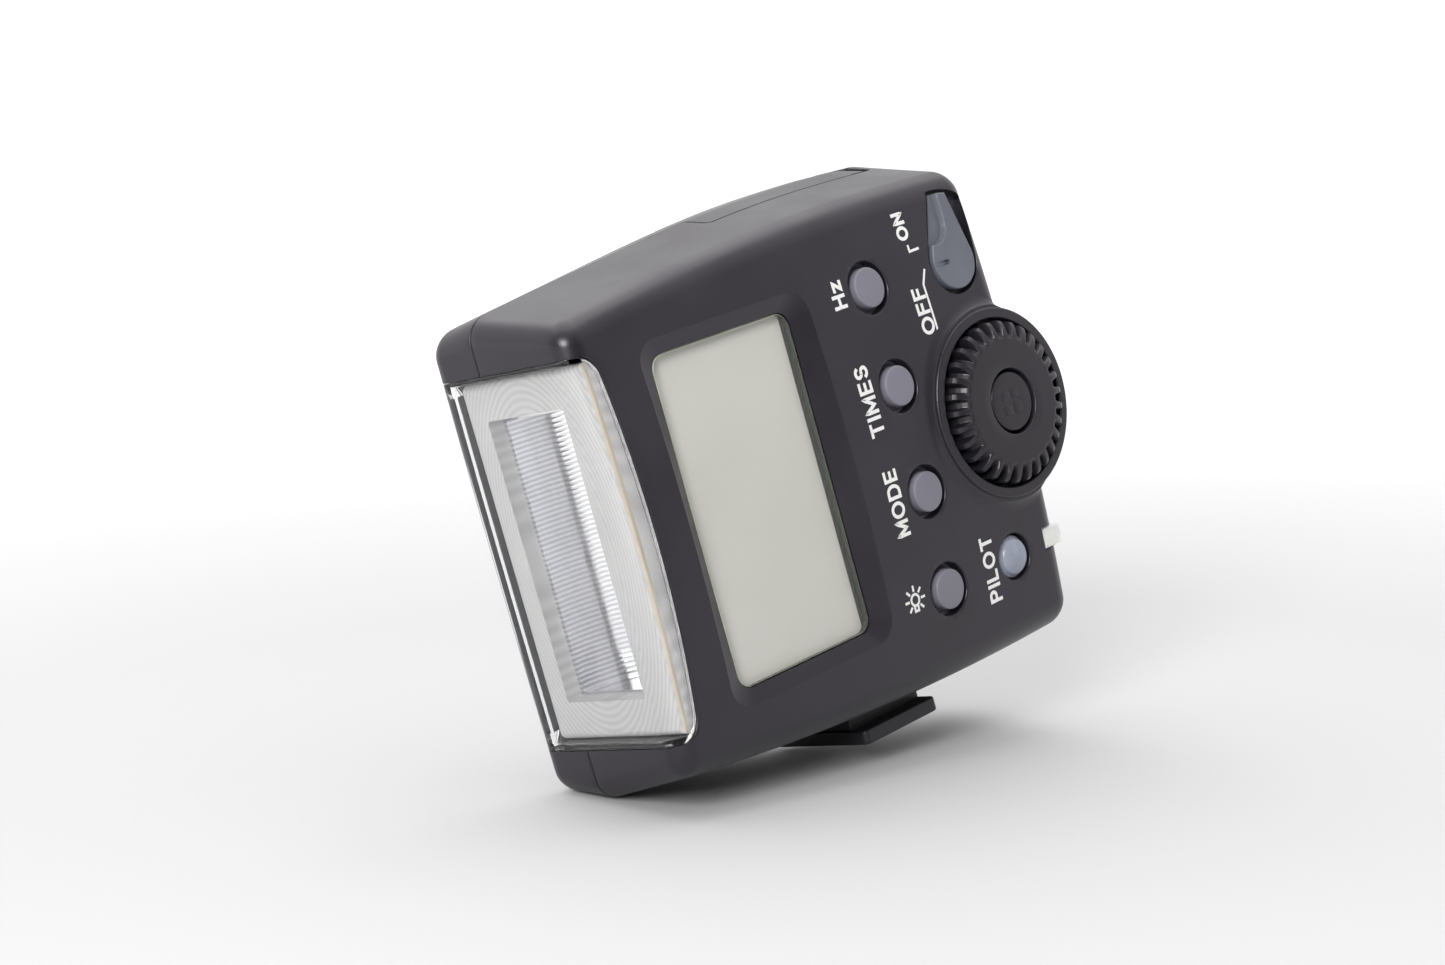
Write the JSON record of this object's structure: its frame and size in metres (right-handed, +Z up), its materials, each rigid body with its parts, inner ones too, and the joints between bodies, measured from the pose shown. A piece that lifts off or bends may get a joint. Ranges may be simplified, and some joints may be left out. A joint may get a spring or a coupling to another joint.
{
  "type": "speedlight flash",
  "caption": "Slim camera flash with a wrapped clear lens end, a screen and controls on one broad side, and a hot-shoe foot.",
  "frame": {"origin": "centre of the shoe foot's sole", "axes": "+Z up from the foot; the lens fires towards -Y, so +Y runs from the lens end to the dial end; +X is the normal of the broad side with the screen and controls"},
  "size_m": [0.0322, 0.0863, 0.0749],
  "materials": {
    "shell": "fine matte charcoal moulding",
    "foot_plastic": "satin black moulding",
    "dial_plastic": "satin black moulding",
    "lever_plastic": "matte blue-grey moulding",
    "grey_key": "matte grey moulding",
    "milky_key": "translucent milky moulding",
    "clear_lens": "clear polycarbonate with fine lens ribs",
    "tube_glass": "clear glass",
    "screen_glass": "clear glossy window",
    "screen_glass_back": "warm grey liquid-crystal glass",
    "white_plastic": "satin white moulding",
    "transformer_tape": "wound tape",
    "polished_reflector": "polished aluminium foil",
    "rubber": "soft silicone",
    "steel": "plated steel",
    "screw_black": "black oxide",
    "inner_plastic": "plain black moulding",
    "cell_wrap": "printed wrap without lettering",
    "circuit_board": "green solder mask",
    "capacitor_sleeve": "blue shrink sleeve",
    "contact_brass": "gold-plated"
  },
  "bodies": {
    "case": {"front_shell": "shell", "rear_shell": "shell", "lens_cover": "clear_lens", "lens_frame": "white_plastic", "reflector": "polished_reflector", "flash_tube": "tube_glass", "tube_boot_upper": "rubber", "tube_boot_lower": "rubber", "screen_window": "screen_glass", "screen_panel": "screen_glass_back", "screen_backlight": "white_plastic", "pilot_light_guide": "milky_key", "battery_door_pin": "steel", "battery_tray": "inner_plastic", "battery_cell_1": "cell_wrap", "contact_spring_1": "steel", "battery_cell_2": "cell_wrap", "contact_spring_2": "steel", "switch_board": "circuit_board", "rate_switch": "inner_plastic", "count_switch": "inner_plastic", "mode_switch": "inner_plastic", "light_switch": "inner_plastic", "pilot_switch": "inner_plastic", "dial_encoder": "inner_plastic", "power_switch": "inner_plastic", "main_board": "circuit_board", "board_connector": "white_plastic", "flash_capacitor": "capacitor_sleeve", "step_up_transformer": "transformer_tape", "trigger_coil": "capacitor_sleeve", "shoe_foot": "foot_plastic", "centre_contact": "contact_brass", "data_contact_1": "contact_brass", "data_contact_2": "contact_brass", "data_contact_3": "contact_brass", "data_contact_4": "contact_brass", "shoe_screw_1": "steel", "shoe_screw_2": "steel", "shoe_screw_3": "steel", "shoe_screw_4": "steel", "case_screw_1": "screw_black", "case_screw_2": "screw_black", "case_screw_3": "screw_black", "case_screw_4": "screw_black"},
    "battery_door": {"battery_door": "shell", "door_contact_plate": "steel"},
    "control_dial": {"control_dial": "dial_plastic"},
    "select_button": {"select_button": "dial_plastic"},
    "power_lever": {"power_lever": "lever_plastic"},
    "pilot_button": {"pilot_button": "milky_key"},
    "rate_button": {"rate_button": "grey_key"},
    "count_button": {"count_button": "grey_key"},
    "mode_button": {"mode_button": "grey_key"},
    "light_button": {"light_button": "grey_key"}
  },
  "joints": [
    {"name": "rate_button_press", "type": "slide", "parent": "case", "child": "rate_button", "axis": [-0.9971, 0, -0.0759], "range_m": [0, 0.0006], "stiffness_N_per_m": 150, "springref_m": -0.003},
    {"name": "count_button_press", "type": "slide", "parent": "case", "child": "count_button", "axis": [-0.9996, 0, -0.0266], "range_m": [0, 0.0006], "stiffness_N_per_m": 150, "springref_m": -0.003},
    {"name": "mode_button_press", "type": "slide", "parent": "case", "child": "mode_button", "axis": [-0.9996, 0, 0.0266], "range_m": [0, 0.0006], "stiffness_N_per_m": 150, "springref_m": -0.003},
    {"name": "light_button_press", "type": "slide", "parent": "case", "child": "light_button", "axis": [-0.9971, 0, 0.0759], "range_m": [0, 0.0006], "stiffness_N_per_m": 150, "springref_m": -0.003},
    {"name": "pilot_button_press", "type": "slide", "parent": "case", "child": "pilot_button", "axis": [-0.9972, 0, 0.0754], "range_m": [0, 0.0006], "stiffness_N_per_m": 150, "springref_m": -0.003},
    {"name": "select_button_press", "type": "slide", "parent": "case", "child": "select_button", "axis": [-1, 0, 0], "range_m": [0, 0.0006], "stiffness_N_per_m": 150, "springref_m": -0.003},
    {"name": "control_dial_turn", "type": "hinge", "parent": "case", "child": "control_dial", "pos_m": [0.0168, 0.0277, 0.0384], "axis": [1, 0, 0], "continuous": true},
    {"name": "power_lever_swing", "type": "hinge", "parent": "case", "child": "power_lever", "pos_m": [0.016, 0.0267, 0.0597], "axis": [-0.9972, 0, -0.075], "range_deg": [0, 24]},
    {"name": "battery_door_swing", "type": "hinge", "parent": "case", "child": "battery_door", "pos_m": [-0.0032, 0.0258, 0.0725], "axis": [-1, 0, 0], "range_deg": [0, 95]}
  ]
}
